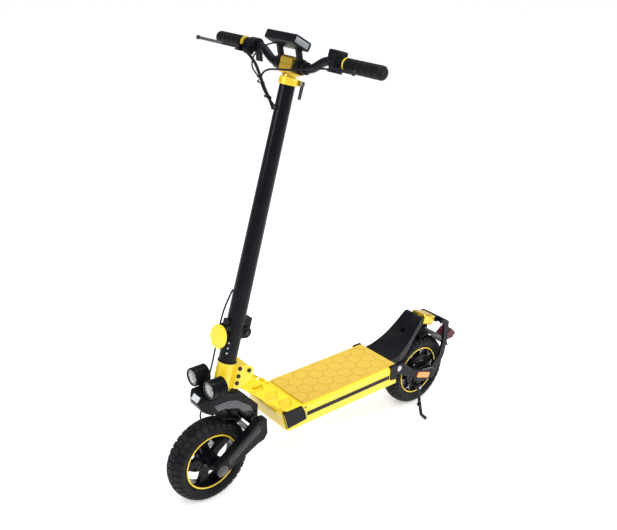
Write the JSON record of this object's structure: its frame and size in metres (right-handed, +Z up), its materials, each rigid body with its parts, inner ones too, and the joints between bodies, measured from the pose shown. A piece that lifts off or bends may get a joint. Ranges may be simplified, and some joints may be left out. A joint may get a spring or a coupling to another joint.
{
  "type": "electric kick scooter",
  "caption": "Folding electric kick scooter with sprung wheels, a raised rear footrest, twin headlights, a height-adjustable bar and a side stand.",
  "frame": {"origin": "on the ground, under the middle of the scooter", "axes": "+X forward, +Y the rider's left, +Z up"},
  "size_m": [1.176, 0.644, 1.2956],
  "materials": {
    "yellow_paint": "satin yellow powder coat",
    "black_paint": "satin black powder coat",
    "black_plastic": "grained moulded black plastic",
    "tyre_rubber": "matt black tyre rubber",
    "grip_rubber": "ribbed black rubber",
    "yellow_rubber": "yellow rubber with hexagon grooves",
    "gold_anodised": "gold anodised",
    "steel": "turned steel",
    "black_steel": "black oxide steel",
    "lens": "clear moulded lens",
    "amber": "prismatic amber reflector",
    "white_reflector": "prismatic clear reflector",
    "light_strip": "smoked light strip",
    "red_lens": "smoked red lens",
    "battery_wrap": "shrink-wrapped cell pack",
    "screen_glass": "dark cover glass",
    "yellow_plastic": "gloss yellow plastic"
  },
  "bodies": {
    "chassis": {"deck_frame": "yellow_paint", "side_light_strips": "light_strip", "deck_mat": "yellow_rubber", "corner_caps": "black_plastic", "nose_panel": "yellow_paint", "battery_pack": "battery_wrap", "neck_plates": "yellow_paint", "neck_bolts": "black_steel", "head_tube": "yellow_paint", "kickplate": "black_paint"},
    "fork": {"fork_neck": "black_paint", "fork_cover": "black_plastic", "headlight_housings": "black_paint", "headlight_lenses": "lens", "front_reflector": "white_reflector", "fold_base": "black_paint", "fold_pins": "steel", "fork_cables": "grip_rubber"},
    "front_arm": {"front_arms": "black_paint", "front_arm_covers": "black_plastic", "front_axle": "steel", "brake_caliper": "black_paint", "front_mudguard": "black_plastic", "fork_pivot_pin": "steel"},
    "front_wheel": {"front_tyre": "tyre_rubber", "front_rim": "black_paint", "front_brake_disc": "steel"},
    "stem": {"stem_foot": "black_paint", "stem_tube": "black_paint", "height_collar": "gold_anodised", "skewer": "steel"},
    "fold_latch": {"latch_lever": "black_paint", "latch_pad": "yellow_plastic"},
    "quick_release": {"quick_release_lever": "black_paint"},
    "mast": {"inner_tube": "black_paint", "bar_clamp": "gold_anodised", "handlebar": "black_paint", "grips": "grip_rubber", "grip_rings": "gold_anodised", "lever_perches": "black_paint", "switch_pod": "black_plastic", "throttle_housing": "black_plastic", "display_housing": "black_plastic", "display_screen": "screen_glass", "bar_cables": "grip_rubber"},
    "left_brake": {"brake_lever_left": "black_paint"},
    "right_brake": {"brake_lever_right": "black_paint"},
    "throttle": {"throttle_paddle": "black_plastic"},
    "horn": {"horn_button": "black_plastic"},
    "rear_swing": {"rear_arm": "black_paint", "rear_pin": "steel", "rear_axle": "steel", "rear_mudguard": "black_plastic", "tail_light": "red_lens", "side_reflectors": "amber"},
    "rear_wheel": {"rear_tyre": "tyre_rubber", "rear_motor_wheel": "black_paint"},
    "kickstand": {"kickstand_leg": "black_steel"},
    "shock_upper": {"shock_tube": "gold_anodised"},
    "shock_lower": {"shock_rod": "steel"}
  },
  "joints": [
    {"name": "steering", "type": "hinge", "parent": "chassis", "child": "fork", "pos_m": [0.40522, 0, 0.383], "axis": [-0.2402, 0, 0.9707], "range_deg": [-38, 38]},
    {"name": "front_suspension", "type": "hinge", "parent": "fork", "child": "front_arm", "pos_m": [0.3225, 0, 0.2195], "axis": [0, -1, 0], "range_deg": [0, 9], "stiffness_Nm_per_rad": 260, "springref_deg": -9.17},
    {"name": "front_wheel_spin", "type": "hinge", "parent": "front_arm", "child": "front_wheel", "pos_m": [0.4605, 0, 0.1275], "axis": [0, 1, 0], "continuous": true},
    {"name": "stem_fold", "type": "hinge", "parent": "fork", "child": "stem", "pos_m": [0.34497, 0, 0.50407], "axis": [0, -1, 0], "range_deg": [0, 84], "deforming": ["fork_cables"]},
    {"name": "fold_latch_press", "type": "hinge", "parent": "fork", "child": "fold_latch", "pos_m": [0.40254, 0, 0.53119], "axis": [0, 1, 0], "range_deg": [0, 5], "stiffness_Nm_per_rad": 1.5, "springref_deg": -11.46},
    {"name": "height_adjust", "type": "slide", "parent": "stem", "child": "mast", "axis": [-0.2402, 0, 0.9707], "range_m": [0, 0.1], "deforming": ["bar_cables"]},
    {"name": "quick_release_swing", "type": "hinge", "parent": "stem", "child": "quick_release", "pos_m": [0.18156, 0.022, 1.16605], "axis": [0.9707, 0, 0.2402], "range_deg": [0, 110]},
    {"name": "left_brake_squeeze", "type": "hinge", "parent": "mast", "child": "left_brake", "pos_m": [0.23361, 0.185, 1.23463], "axis": [-0.2402, 0, 0.9707], "range_deg": [0, 16], "stiffness_Nm_per_rad": 1.2, "springref_deg": -8.59},
    {"name": "right_brake_squeeze", "type": "hinge", "parent": "mast", "child": "right_brake", "pos_m": [0.23361, -0.185, 1.23463], "axis": [0.2402, 0, -0.9707], "range_deg": [0, 16], "stiffness_Nm_per_rad": 1.2, "springref_deg": -8.59},
    {"name": "throttle_press", "type": "hinge", "parent": "mast", "child": "throttle", "pos_m": [0.197, -0.149, 1.24102], "axis": [0, -1, 0], "range_deg": [0, 28], "stiffness_Nm_per_rad": 0.3, "springref_deg": -11.46},
    {"name": "horn_press", "type": "slide", "parent": "mast", "child": "horn", "axis": [0.9707, 0, 0.2402], "range_m": [0, 0.0025], "stiffness_N_per_m": 400, "springref_m": -0.001},
    {"name": "rear_suspension", "type": "hinge", "parent": "chassis", "child": "rear_swing", "pos_m": [-0.2515, 0, 0.2035], "axis": [0, 1, 0], "range_deg": [0, 7], "stiffness_Nm_per_rad": 420, "springref_deg": -9.17},
    {"name": "rear_wheel_spin", "type": "hinge", "parent": "rear_swing", "child": "rear_wheel", "pos_m": [-0.3975, 0, 0.1275], "axis": [0, 1, 0], "continuous": true},
    {"name": "kickstand_swing", "type": "hinge", "parent": "rear_swing", "child": "kickstand", "pos_m": [-0.3455, 0.075, 0.1055], "axis": [0, 1, 0], "range_deg": [0, 82]},
    {"name": "shock_tilt", "type": "hinge", "parent": "chassis", "child": "shock_upper", "pos_m": [-0.3815, 0, 0.3305], "axis": [0, 1, 0], "range_deg": [-0.01, 15.22]},
    {"name": "shock_stroke", "type": "slide", "parent": "shock_upper", "child": "shock_lower", "axis": [-0.9448, 0, -0.3278], "range_m": [-0.01951, 0]}
  ],
  "couplings": [
    {"joint": "shock_tilt", "follows": "rear_suspension", "ratio": 2.0695},
    {"joint": "shock_stroke", "follows": "rear_suspension", "m_per_rad": -0.15129}
  ]
}
